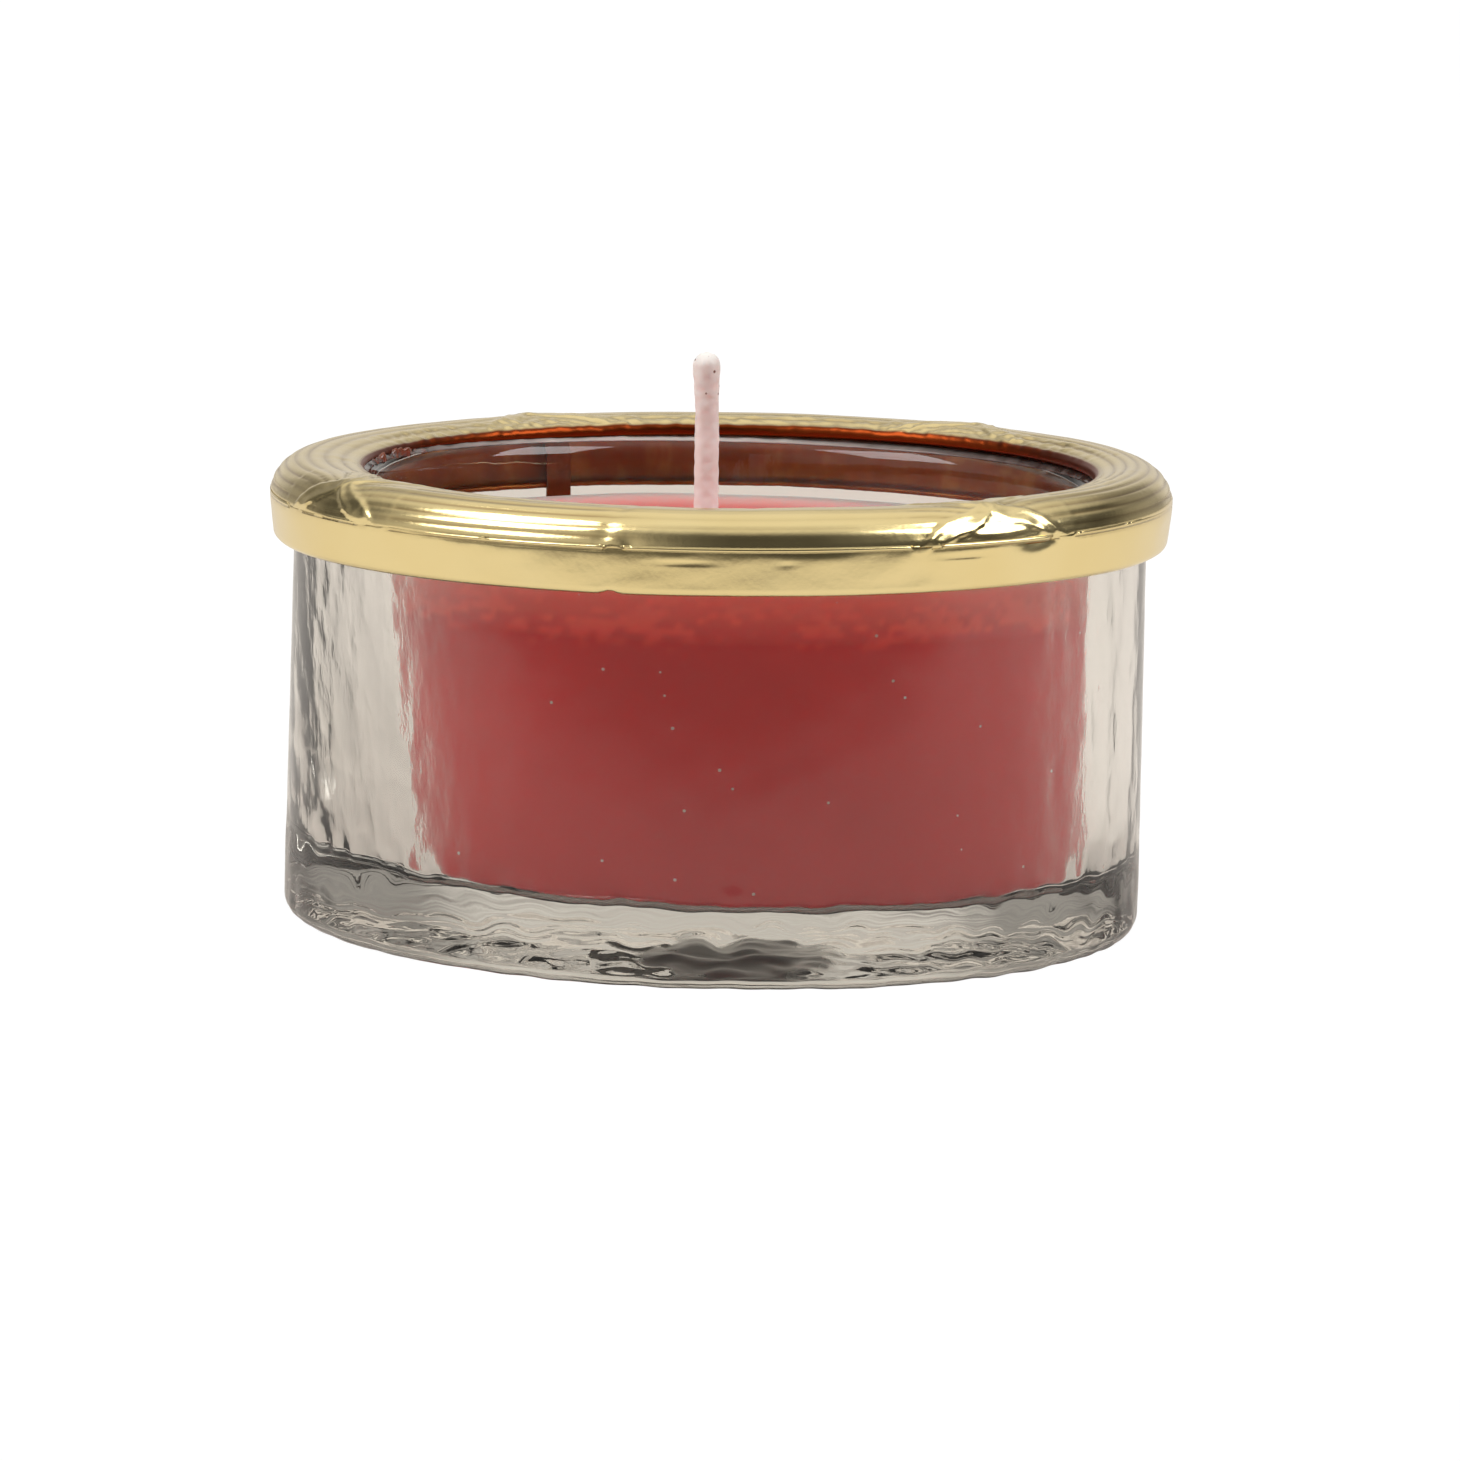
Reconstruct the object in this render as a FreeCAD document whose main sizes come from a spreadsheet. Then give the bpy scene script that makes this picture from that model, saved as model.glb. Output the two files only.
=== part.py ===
import FreeCAD, Part
import math
import os
import sys

import Sketcher

# A poured candle in a thick pressed-glass cup with a reeded brass rim.
# The origin is the middle of the base, +Z goes up, and every size is in millimetres.

os.makedirs("parts", exist_ok=True)
doc = FreeCAD.newDocument("TealightHolder")
sizes = doc.addObject("Spreadsheet::Sheet", "Sizes")

DRIVING_SIZES = [
    # glass cup
    ("glass_radius", 40.2, "outer radius of the wall where the rim sits"),
    ("glass_height", 42.0, "height of the rounded lip"),
    ("base_flare", 0.45, "how much wider the radius is at the base"),
    ("wall_thickness", 6.6, "wall at the lip"),
    ("cavity_draft", 0.5, "how much narrower the cavity's radius is at its floor"),
    ("floor_thickness", 6.0, "glass under the wax"),
    ("floor_corner", 3.0, "radius between cavity wall and floor"),
    ("heel_radius", 1.5, "radius of the outer bottom edge"),
    ("foot_width", 5.0, "width of the flat ring that the cup stands on, with its heel"),
    ("punt_slope_width", 4.0, "width of the slope from the foot ring up to the punt"),
    ("punt_depth", 0.9, "hollow under the base"),
    ("lip_round", 2.0, "radius of both edges of the lip"),
    # brass rim
    ("rim_overhang", 2.3, "how far the rim stands out from the wall"),
    ("rim_reach", 5.8, "how far the crown reaches inwards from the wall's outer face"),
    ("rim_height", 7.9, "crest down to the skirt's lower edge"),
    ("sheet_thickness", 0.6, "brass sheet"),
    ("shoulder_round", 3.2, "radius from the plain band up to the crown"),
    ("crest_width", 5.0, "from the rim's outer face to the inner end of the level crest"),
    ("crown_drop", 1.0, "how much lower the crown's inner edge is than its crest"),
    ("turned_lip", 0.8, "height of the down-turned inner edge"),
    ("turned_round", 0.7, "radius at the down-turned inner edge"),
    ("curl_flat", 0.15, "level strip of the curled skirt that faces the glass"),
    ("grip_gap", 0.4, "clearance between the curled skirt and the wall"),
    ("lip_clearance", 0.1, "clearance between the down-turned edge and the lip's top"),
    ("reed_pitch", 1.25, "spacing of the reeds' grooves"),
    ("reed_groove_radius", 0.5, "radius of each groove between two reeds"),
    ("reed_depth", 0.2, "depth of each groove"),
    # plate behind the butt joint of the brass strip
    ("splice_width", 2.9, "width round the rim"),
    ("splice_thickness", 0.3, "sheet of the plate"),
    ("splice_show", 0.75, "how far the plate shows below the skirt"),
    ("splice_height", 4.2, "height of the plate"),
    ("splice_turn", 114.0, "degrees from +X round to the plate's near edge"),
    # adhesive bead on the lip
    ("bead_width", 1.5, "width of the bead, out from the inner end of the level crest"),
    # wax
    ("wax_drop", 5.6, "lip down to the wax"),
    ("wax_gap", 0.25, "gap that the wax leaves to the wall as it shrinks"),
    ("wax_edge_round", 0.5, "radius of the wax's upper edge"),
    # wick and its foot
    ("wick_offset", -1.6, "how far the wick stands off centre along X"),
    ("wick_radius", 1.15, "radius of the waxed wick"),
    ("wick_bulb_radius", 1.27, "radius of the wax bead at the wick's end"),
    ("wick_above_lip", 11.5, "lip up to the wick's end"),
    ("sustainer_radius", 7.5, "radius of the wick's metal foot"),
    ("sustainer_thickness", 0.3, "sheet of the metal foot"),
    ("neck_wall", 0.3, "wall of the neck that is crimped on the wick"),
    ("neck_height", 3.0, "height of the neck above the foot"),
    ("sticker_radius", 6.5, "radius of the adhesive dot under the foot"),
    ("sticker_thickness", 0.6, "thickness of the adhesive dot"),
]

for row, (alias, number, note) in enumerate(DRIVING_SIZES, start=1):
    sizes.set(f"A{row}", alias)
    sizes.set(f"B{row}", str(number))
    sizes.setAlias(f"B{row}", alias)
    sizes.set(f"C{row}", note)
doc.recompute()


def size(words):
    """Puts the sheet's name before each size in an expression."""
    names = sorted((alias for alias, _, _ in DRIVING_SIZES), key=len, reverse=True)
    for place, alias in enumerate(names):
        words = words.replace(alias, f"<{place}>")
    for place, alias in enumerate(names):
        words = words.replace(f"<{place}>", f"Sizes.{alias}")
    return words


# Heights and radii that several pieces share, as expressions of the driving sizes.
CAVITY_RADIUS = "(glass_radius - wall_thickness)"
CREST_Z = "(glass_height + lip_clearance + turned_lip + crown_drop)"
SKIRT_Z = f"({CREST_Z} - rim_height)"
RIM_RADIUS = "(glass_radius + rim_overhang)"
CROWN_INNER_RADIUS = "(glass_radius - rim_reach)"
CROWN_INNER_Z = f"({CREST_Z} - crown_drop)"
CREST_INNER_RADIUS = f"({RIM_RADIUS} - crest_width)"
CURL_ROUND = "(rim_overhang - grip_gap - curl_flat)"
WAX_Z = "(glass_height - wax_drop)"
FOOT_Z = "(floor_thickness + sticker_thickness)"
NECK_RADIUS = "(wick_radius + neck_wall)"


def new_body(label):
    body = doc.addObject("PartDesign::Body", label)
    body.Label = label
    return body


def new_sketch(body, name, plane="XZ_Plane"):
    """A sketch on one of the body's own origin planes; on XZ_Plane it reads X across and Z up."""
    sketch = body.newObject("Sketcher::SketchObject", name)
    support = next(item for item in body.Origin.OriginFeatures if item.Role == plane)
    sketch.AttachmentSupport = [(support, "")]
    sketch.MapMode = "FlatFace"
    doc.recompute()
    return sketch


def bind(sketch, constraint, expression):
    """Adds a constraint and binds its value to the sheet."""
    index = sketch.addConstraint(constraint)
    sketch.setExpression(f"Constraints[{index}]", size(expression))
    return index


def hold_point(sketch, geometry, position, across, up, at):
    """Places a point by its distances from the sketch's axes."""
    if across == "0":
        sketch.addConstraint(Sketcher.Constraint("PointOnObject", geometry, position, -2))
    else:
        bind(sketch, Sketcher.Constraint("DistanceX", -1, 1, geometry, position, at.x), across)
    if up == "0":
        sketch.addConstraint(Sketcher.Constraint("PointOnObject", geometry, position, -1))
    else:
        bind(sketch, Sketcher.Constraint("DistanceY", -1, 1, geometry, position, at.y), up)


def draw_outline(sketch, corners):
    """Draws a closed outline. Each corner is (across, up) or (across, up, radius), in expressions.

    A construction point marks each corner. Straight edges run between the corners, and a tangent
    arc of the given radius rounds a corner off.
    """
    points = []
    for corner in corners:
        across = float(sketch.evalExpression(size(corner[0])))
        up = float(sketch.evalExpression(size(corner[1])))
        points.append(FreeCAD.Vector(across, up, 0))

    arrivals, departures, arcs = [], [], []
    for number, corner in enumerate(corners):
        here = points[number]
        if len(corner) == 2:
            arrivals.append(here)
            departures.append(here)
            arcs.append(None)
            continue
        radius = float(sketch.evalExpression(size(corner[2])))
        back = (points[number - 1] - here).normalize()
        onward = (points[(number + 1) % len(points)] - here).normalize()
        half_angle = back.getAngle(onward) / 2
        reach = radius / math.tan(half_angle)
        centre = here + (back + onward).normalize() * (radius / math.sin(half_angle))
        arrivals.append(here + back * reach)
        departures.append(here + onward * reach)
        left_turn = back.cross(onward).z < 0
        first, last = (arrivals[-1], departures[-1]) if left_turn else (departures[-1], arrivals[-1])
        start = math.atan2(first.y - centre.y, first.x - centre.x)
        stop = math.atan2(last.y - centre.y, last.x - centre.x)
        circle = Part.Circle(centre, FreeCAD.Vector(0, 0, 1), radius)
        arc = sketch.addGeometry(Part.ArcOfCircle(circle, start, stop), False)
        arcs.append((arc, left_turn))

    markers = []
    for number, corner in enumerate(corners):
        marker = sketch.addGeometry(Part.Point(points[number]), True)
        hold_point(sketch, marker, 1, corner[0], corner[1], points[number])
        markers.append(marker)

    for number in range(len(corners)):
        following = (number + 1) % len(corners)
        edge = Part.LineSegment(departures[number], arrivals[following])
        line = sketch.addGeometry(edge, False)
        for end, place in ((1, number), (2, following)):
            if arcs[place] is None:
                sketch.addConstraint(Sketcher.Constraint("Coincident", line, end, markers[place], 1))
                continue
            arc, left_turn = arcs[place]
            leaves_arc = end == 1
            arc_end = 2 if leaves_arc == left_turn else 1
            sketch.addConstraint(Sketcher.Constraint("Tangent", line, end, arc, arc_end))
            sketch.addConstraint(Sketcher.Constraint("PointOnObject", markers[place], 1, line))

    for corner, rounding in zip(corners, arcs):
        if rounding is not None:
            radius = float(sketch.evalExpression(size(corner[2])))
            bind(sketch, Sketcher.Constraint("Radius", rounding[0], radius), corner[2])


def revolve(body, name, sketch, feature="PartDesign::Revolution"):
    """Turns a sketch a full turn about its own vertical axis."""
    turned = body.newObject(feature, name)
    turned.Profile = sketch
    turned.ReferenceAxis = (sketch, ["V_Axis"])
    turned.Angle = 360
    sketch.Visibility = False
    doc.recompute()
    return turned


def make_glass_cup():
    """Thick pressed cup: foot ring and punt below, rounded lip above."""
    body = new_body("glass_cup")
    sketch = new_sketch(body, "glass_cup_profile")
    base_radius = "(glass_radius + base_flare)"
    draw_outline(
        sketch,
        [
            ("0", "punt_depth"),
            (f"{base_radius} - foot_width - punt_slope_width", "punt_depth"),
            (f"{base_radius} - foot_width", "0"),
            (base_radius, "0", "heel_radius"),
            ("glass_radius", f"{SKIRT_Z} - splice_show - lip_round"),
            ("glass_radius", "glass_height", "lip_round"),
            (CAVITY_RADIUS, "glass_height", "lip_round"),
            (f"{CAVITY_RADIUS} - cavity_draft", "floor_thickness", "floor_corner"),
            ("0", "floor_thickness"),
        ],
    )
    revolve(body, "glass_cup_turned", sketch)
    return body


def make_brass_rim():
    """Sheet-brass channel over the lip, with reeds along its shoulder and crown."""
    body = new_body("brass_rim")
    sketch = new_sketch(body, "brass_rim_profile")
    grip_radius = "glass_radius + grip_gap"
    draw_outline(
        sketch,
        [
            (grip_radius, SKIRT_Z),
            (RIM_RADIUS, SKIRT_Z, CURL_ROUND),
            (RIM_RADIUS, CREST_Z, "shoulder_round"),
            (CREST_INNER_RADIUS, CREST_Z),
            (CROWN_INNER_RADIUS, CROWN_INNER_Z, "turned_round"),
            (CROWN_INNER_RADIUS, f"{CROWN_INNER_Z} - turned_lip"),
            (f"{CROWN_INNER_RADIUS} + sheet_thickness", f"{CROWN_INNER_Z} - turned_lip"),
            (f"{CROWN_INNER_RADIUS} + sheet_thickness", f"{CROWN_INNER_Z} - sheet_thickness"),
            (CREST_INNER_RADIUS, f"{CREST_Z} - sheet_thickness"),
            (
                f"{RIM_RADIUS} - sheet_thickness",
                f"{CREST_Z} - sheet_thickness",
                "shoulder_round - sheet_thickness",
            ),
            (
                f"{RIM_RADIUS} - sheet_thickness",
                f"{SKIRT_Z} + sheet_thickness",
                f"{CURL_ROUND} - sheet_thickness",
            ),
            (grip_radius, f"{SKIRT_Z} + sheet_thickness"),
        ],
    )
    channel = revolve(body, "brass_rim_channel", sketch)
    plain_volume = channel.Shape.Volume

    grooves = new_sketch(body, "brass_rim_reed_grooves")
    lift = "(reed_groove_radius - reed_depth)"
    shoulder_middle = f"({RIM_RADIUS} - shoulder_round)"
    centres = []
    for step in range(4):
        turn = f"(90 deg - {step} * reed_pitch / shoulder_round * 1 rad)"
        across = f"{shoulder_middle} + (shoulder_round + {lift}) * cos({turn})"
        up = f"{CREST_Z} - shoulder_round + (shoulder_round + {lift}) * sin({turn})"
        centres.append((across, up))
    crown_fall = f"(crown_drop / ({CREST_INNER_RADIUS} - {CROWN_INNER_RADIUS}))"
    for step in (1, 2, 3):
        across = f"{shoulder_middle} - {step} * reed_pitch"
        below_crest = f"max(0; {CREST_INNER_RADIUS} - ({across})) * {crown_fall}"
        centres.append((across, f"{CREST_Z} + {lift} - {below_crest}"))
    for across, up in centres:
        at_x = float(grooves.evalExpression(size(across)))
        at_y = float(grooves.evalExpression(size(up)))
        at = FreeCAD.Vector(at_x, at_y, 0)
        radius = float(grooves.evalExpression(size("reed_groove_radius")))
        ring = grooves.addGeometry(Part.Circle(at, FreeCAD.Vector(0, 0, 1), radius), False)
        hold_point(grooves, ring, 3, across, up, at)
        bind(grooves, Sketcher.Constraint("Radius", ring, radius), "reed_groove_radius")
    reeded = revolve(body, "brass_rim_reeds", grooves, "PartDesign::Groove")
    if reeded.Shape.Volume >= plain_volume:
        sys.exit("the reed grooves cut nothing from the brass rim")
    return body


def make_splice_plate():
    """Short brass plate soldered behind the butt joint of the rim's strip."""
    body = new_body("rim_splice_plate")
    sketch = new_sketch(body, "rim_splice_plate_profile")
    inner = "glass_radius + (grip_gap - splice_thickness) / 2"
    bottom = f"{SKIRT_Z} - splice_show"
    draw_outline(
        sketch,
        [
            (inner, bottom),
            (f"{inner} + splice_thickness", bottom),
            (f"{inner} + splice_thickness", f"{bottom} + splice_height"),
            (inner, f"{bottom} + splice_height"),
        ],
    )
    plate = revolve(body, "rim_splice_plate_arc", sketch)
    plate.setExpression("Angle", size("splice_width / glass_radius * 1 rad"))
    body.Placement = FreeCAD.Placement(FreeCAD.Vector(0, 0, 0), FreeCAD.Vector(0, 0, 1), 1)
    body.setExpression("Placement.Rotation.Angle", size("splice_turn * 1 deg"))
    doc.recompute()
    return body


def make_rim_adhesive():
    """Bead of clear adhesive that fills the height between the lip and the level crest."""
    body = new_body("rim_adhesive")
    sketch = new_sketch(body, "rim_adhesive_profile")
    inner = CREST_INNER_RADIUS
    outer = f"{inner} + bead_width"
    top = f"{CREST_Z} - sheet_thickness"
    draw_outline(
        sketch,
        [
            (inner, "glass_height"),
            (outer, "glass_height"),
            (outer, top),
            (inner, top),
        ],
    )
    revolve(body, "rim_adhesive_ring", sketch)
    return body


def make_wax_fill():
    """Wax poured into the cup, shrunk off the wall, with room for the wick and its foot."""
    body = new_body("wax_fill")
    sketch = new_sketch(body, "wax_fill_profile")
    bottom_radius = f"{CAVITY_RADIUS} - cavity_draft - wax_gap"
    draft_at_top = "cavity_draft * wax_drop / (glass_height - floor_thickness)"
    draw_outline(
        sketch,
        [
            ("0", "floor_thickness"),
            (bottom_radius, "floor_thickness", "floor_corner"),
            (f"{CAVITY_RADIUS} - {draft_at_top} - wax_gap", WAX_Z, "wax_edge_round"),
            ("0", WAX_Z),
        ],
    )
    poured = revolve(body, "wax_fill_poured", sketch)
    poured_volume = poured.Shape.Volume

    room = new_sketch(body, "wax_fill_wick_room")
    room.setExpression("AttachmentOffset.Base.x", size("wick_offset"))
    doc.recompute()
    neck_top = f"{FOOT_Z} + sustainer_thickness + neck_height"
    draw_outline(
        room,
        [
            ("0", "floor_thickness"),
            ("sticker_radius", "floor_thickness"),
            ("sticker_radius", FOOT_Z),
            ("sustainer_radius", FOOT_Z),
            ("sustainer_radius", f"{FOOT_Z} + sustainer_thickness"),
            (NECK_RADIUS, f"{FOOT_Z} + sustainer_thickness"),
            (NECK_RADIUS, neck_top),
            ("wick_radius", neck_top),
            ("wick_radius", WAX_Z),
            ("0", WAX_Z),
        ],
    )
    bored = revolve(body, "wax_fill_bored", room, "PartDesign::Groove")
    if bored.Shape.Volume >= poured_volume:
        sys.exit("the room for the wick cuts nothing from the wax")
    return body


def stand_at_wick(body):
    """Moves a piece turned about the origin to the wick's place."""
    body.setExpression("Placement.Base.x", size("wick_offset"))
    doc.recompute()


def make_wick():
    """Braided wick, stiff with wax, with a bead of wax at its end."""
    body = new_body("wick")
    sketch = new_sketch(body, "wick_profile")
    top = "glass_height + wick_above_lip"
    draw_outline(
        sketch,
        [
            ("0", FOOT_Z),
            ("wick_radius", FOOT_Z),
            ("wick_radius", f"{top} - 3 * wick_bulb_radius"),
            ("wick_bulb_radius", f"{top} - 2 * wick_bulb_radius"),
            ("wick_bulb_radius", top, "wick_bulb_radius * 0.95"),
            ("0", top),
        ],
    )
    revolve(body, "wick_turned", sketch)
    stand_at_wick(body)
    return body


def make_wick_sustainer():
    """Tin-plated foot with a neck that is crimped on the wick."""
    body = new_body("wick_sustainer")
    sketch = new_sketch(body, "wick_sustainer_profile")
    disc_top = f"{FOOT_Z} + sustainer_thickness"
    draw_outline(
        sketch,
        [
            ("wick_radius", FOOT_Z),
            ("sustainer_radius", FOOT_Z),
            ("sustainer_radius", disc_top),
            (NECK_RADIUS, disc_top),
            (NECK_RADIUS, f"{disc_top} + neck_height"),
            ("wick_radius", f"{disc_top} + neck_height"),
        ],
    )
    revolve(body, "wick_sustainer_turned", sketch)
    stand_at_wick(body)
    return body


def make_wick_sticker():
    """Adhesive dot that fixes the foot to the glass floor."""
    body = new_body("wick_sticker")
    sketch = new_sketch(body, "wick_sticker_outline", "XY_Plane")
    sketch.setExpression("AttachmentOffset.Base.z", size("floor_thickness"))
    radius = float(sketch.evalExpression(size("sticker_radius")))
    disc = Part.Circle(FreeCAD.Vector(0, 0, 0), FreeCAD.Vector(0, 0, 1), radius)
    circle = sketch.addGeometry(disc, False)
    sketch.addConstraint(Sketcher.Constraint("Coincident", circle, 3, -1, 1))
    bind(sketch, Sketcher.Constraint("Radius", circle, radius), "sticker_radius")
    pad = body.newObject("PartDesign::Pad", "wick_sticker_pad")
    pad.Profile = sketch
    pad.setExpression("Length", size("sticker_thickness"))
    sketch.Visibility = False
    stand_at_wick(body)
    return body


pieces = [
    make_glass_cup(),
    make_brass_rim(),
    make_splice_plate(),
    make_rim_adhesive(),
    make_wax_fill(),
    make_wick(),
    make_wick_sustainer(),
    make_wick_sticker(),
]
doc.recompute()

for item in doc.Objects:
    if "Invalid" in item.State or "Error" in item.State:
        sys.exit(f"{item.Label} failed: {item.State}")
    if item.TypeId == "Sketcher::SketchObject" and not item.FullyConstrained:
        sys.exit(f"{item.Label} isn't fully constrained")

for piece in pieces:
    if piece.Shape.isNull() or not piece.Shape.isValid() or len(piece.Shape.Solids) != 1:
        sys.exit(f"{piece.Label} isn't one valid solid")

for piece in pieces:
    piece.Shape.exportStep(f"parts/{piece.Label}.step")
    box = piece.Shape.BoundBox
    print(f"{piece.Label}: {piece.Shape.Volume:.1f} mm3, z {box.ZMin:.2f} to {box.ZMax:.2f}")
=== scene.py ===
import math

import bpy
import numpy as np
from mathutils import Matrix, Vector


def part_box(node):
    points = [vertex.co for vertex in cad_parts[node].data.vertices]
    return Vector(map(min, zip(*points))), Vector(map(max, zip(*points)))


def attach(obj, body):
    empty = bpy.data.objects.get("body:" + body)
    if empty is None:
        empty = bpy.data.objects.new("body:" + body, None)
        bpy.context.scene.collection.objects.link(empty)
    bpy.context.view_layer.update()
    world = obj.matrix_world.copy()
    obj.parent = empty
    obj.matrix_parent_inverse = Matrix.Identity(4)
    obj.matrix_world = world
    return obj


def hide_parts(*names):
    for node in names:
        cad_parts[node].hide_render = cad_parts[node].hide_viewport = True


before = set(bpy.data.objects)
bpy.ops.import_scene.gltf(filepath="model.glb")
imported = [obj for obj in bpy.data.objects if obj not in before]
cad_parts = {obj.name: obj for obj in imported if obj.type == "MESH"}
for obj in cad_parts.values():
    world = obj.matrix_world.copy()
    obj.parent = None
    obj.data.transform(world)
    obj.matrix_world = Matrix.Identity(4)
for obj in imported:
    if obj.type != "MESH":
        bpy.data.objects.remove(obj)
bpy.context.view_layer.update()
print("frame loaded:", ", ".join(sorted(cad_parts)))

mm = 0.001  # everything below is worked out in millimetres and stored in metres


# shared helpers

def corners(node):
    # a CAD node's lowest and highest corner, in millimetres
    low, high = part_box(node)
    return np.array(low) / mm, np.array(high) / mm


def linear(hexColour):
    # sRGB hex to linear red, green, blue, alpha
    parts = [int(hexColour[i:i + 2], 16) / 255 for i in (0, 2, 4)]
    return tuple(c / 12.92 if c <= 0.04045 else ((c + 0.055) / 1.055) ** 2.4 for c in parts) + (1.0,)


def addNode(tree, kind, links=(), stops=(), **settings):
    # one node with its settings; links are (input, source socket) or (input, fixed value) pairs, and stops are
    # a colour ramp's (position, hex colour) pairs
    node = tree.nodes.new(kind)
    for name, value in settings.items():
        setattr(node, name, value)
    for place, source in links:
        if isinstance(source, bpy.types.NodeSocket):
            tree.links.new(source, node.inputs[place])
        else:
            node.inputs[place].default_value = source
    for number, (position, colour) in enumerate(stops):
        elements = node.color_ramp.elements
        stop = elements[number] if number < 2 else elements.new(position)
        stop.position = position
        stop.color = linear(colour)
    return node


def newMaterial(name):
    # an empty material with its Principled shader wired to the output
    material = bpy.data.materials.new(name)
    material.use_nodes = True
    tree = material.node_tree
    tree.nodes.clear()
    shader = addNode(tree, "ShaderNodeBsdfPrincipled")
    addNode(tree, "ShaderNodeOutputMaterial", [("Surface", shader.outputs[0])])
    return material, tree, shader


def setShader(shader, **values):
    # fixed values go on the shader's own sockets
    names = {"roughness": "Roughness", "metallic": "Metallic", "ior": "IOR",
             "transmission": "Transmission Weight",
             "specular": "Specular IOR Level", "subsurface": "Subsurface Weight",
             "subsurfaceScale": "Subsurface Scale", "subsurfaceRadius": "Subsurface Radius",
             "colour": "Base Color"}
    for key, value in values.items():
        shader.inputs[names[key]].default_value = value


def waves(x, y, z, length, seed, count=28):
    # the sum of plane waves in random directions, whose lengths lie round the given one, scaled to about -1 to 1
    random = np.random.default_rng(seed)
    way = random.normal(size=(count, 3))
    way /= np.linalg.norm(way, axis=1, keepdims=True)
    pace = 2 * np.pi / (length * random.uniform(0.65, 1.6, count))
    phase = random.uniform(0, 2 * np.pi, count)
    total = np.zeros(np.broadcast(x, y, z).shape)
    for k in range(count):
        total += np.cos(pace[k] * (way[k, 0] * x + way[k, 1] * y + way[k, 2] * z) + phase[k])
    return total / math.sqrt(count)


def step(value, low, high):
    # 0 below low, 1 above high, and a smooth rise between
    t = np.clip((value - low) / (high - low), 0, 1)
    return t * t * (3 - 2 * t)


def bump(value, middle, width):
    # a bell of height 1 about middle, down to 0.37 at width
    return np.exp(-((value - middle) / width) ** 2)


def roundedPath(points, spacing, arcSteps=10):
    # a path through (across, up, radius) corners: straight runs, and an arc tangent to both runs at each corner
    # with a radius. Returns across, up and leg, which counts the corners passed so far.
    pts = np.array([p[:2] for p in points], float)
    across, up, leg = [], [], []
    start = pts[0]
    for i in range(len(pts)):
        radius = points[i][2] if len(points[i]) > 2 else 0
        end, arc = pts[i], []
        if radius and 0 < i < len(pts) - 1:
            back, on = pts[i - 1] - pts[i], pts[i + 1] - pts[i]
            back, on = back / np.linalg.norm(back), on / np.linalg.norm(on)
            half = math.acos(np.clip(back @ on, -1, 1)) / 2
            end = pts[i] + back * radius / math.tan(half)
            leave = pts[i] + on * radius / math.tan(half)
            centre = pts[i] + (back + on) / np.linalg.norm(back + on) * radius / math.sin(half)
            a0, a1 = (math.atan2(*(p - centre)[::-1]) for p in (end, leave))
            turn = (a1 - a0 + math.pi) % (2 * math.pi) - math.pi
            steps = max(4, int(arcSteps * max(1.0, radius * abs(turn) / (spacing * arcSteps))))
            angles = a0 + turn * np.arange(1, steps + 1) / steps
            arc = centre + radius * np.stack([np.cos(angles), np.sin(angles)], 1)
        if i:
            run = np.linalg.norm(end - start)
            pieces = max(1, int(round(run / spacing)))
            t = np.arange(1, pieces + 1) / pieces
            across += list(start[0] + (end[0] - start[0]) * t)
            up += list(start[1] + (end[1] - start[1]) * t)
            leg += list(i - 1 + t)
        else:
            across, up, leg = [pts[0][0]], [pts[0][1]], [0.0]
        if len(arc):
            across += list(arc[:, 0])
            up += list(arc[:, 1])
            leg += [float(i)] * len(arc)
            end = arc[-1]
        start = end
    return np.array(across), np.array(up), np.array(leg)


def pathNormals(across, up, closed=False):
    # unit normals on the right of the path as it runs
    if closed:
        dx, dy = np.roll(across, -1) - np.roll(across, 1), np.roll(up, -1) - np.roll(up, 1)
    else:
        dx, dy = np.gradient(across), np.gradient(up)
    size = np.hypot(dx, dy)
    size[size == 0] = 1
    return dy / size, -dx / size


def gridMesh(name, x, y, z, closedRows=False, poles=False, values=None):
    # a mesh from whole arrays in mm: columns run round the axis and close on themselves; rows run along the
    # profile, and close on themselves too if asked. With poles, the first and the last row are single points.
    rows, columns = x.shape
    place = np.arange(rows * columns).reshape(rows, columns)
    here = place if closedRows else place[:-1]
    above = np.roll(place, -1, 0) if closedRows else place[1:]
    quads = np.stack([here, np.roll(here, -1, 1), np.roll(above, -1, 1), above], -1)
    triangles = np.zeros((0, 3), int)
    if poles:
        quads = quads[1:-1]
        first = np.stack([np.full(columns, place[0, 0]), np.roll(place[1], -1), place[1]], 1)
        last = np.stack([np.full(columns, place[-1, 0]), place[-2], np.roll(place[-2], -1)], 1)
        triangles = np.concatenate([first, last])
    quads = quads.reshape(-1, 4)
    points = np.stack([x, y, z], -1).reshape(-1, 3) * mm
    keep = np.ones(len(points), bool)
    if poles:
        keep[place[0, 1:]] = False
        keep[place[-1, 1:]] = False
    number = np.cumsum(keep) - 1
    faces = [tuple(f) for f in number[triangles]] + [tuple(f) for f in number[quads]]
    mesh = bpy.data.meshes.new(name)
    mesh.from_pydata(points[keep].tolist(), [], [tuple(int(v) for v in f) for f in faces])
    for label, array in (values or {}).items():
        layer = mesh.attributes.new(label, "FLOAT", "POINT")
        layer.data.foreach_set("value", array.reshape(-1)[keep].astype(np.float32))
    mesh.polygons.foreach_set("use_smooth", np.ones(len(mesh.polygons), bool))
    mesh.update()
    piece = bpy.data.objects.new(name, mesh)
    bpy.context.scene.collection.objects.link(piece)
    return piece


def finishPiece(piece, node, material):
    # gives a new piece its material and its body, and hides the CAD node that it stands for
    piece.data.materials.append(material)
    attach(piece, "root")
    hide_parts(node)
    print("made", piece.name, len(piece.data.polygons), "faces")


# places read from the frame

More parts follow.
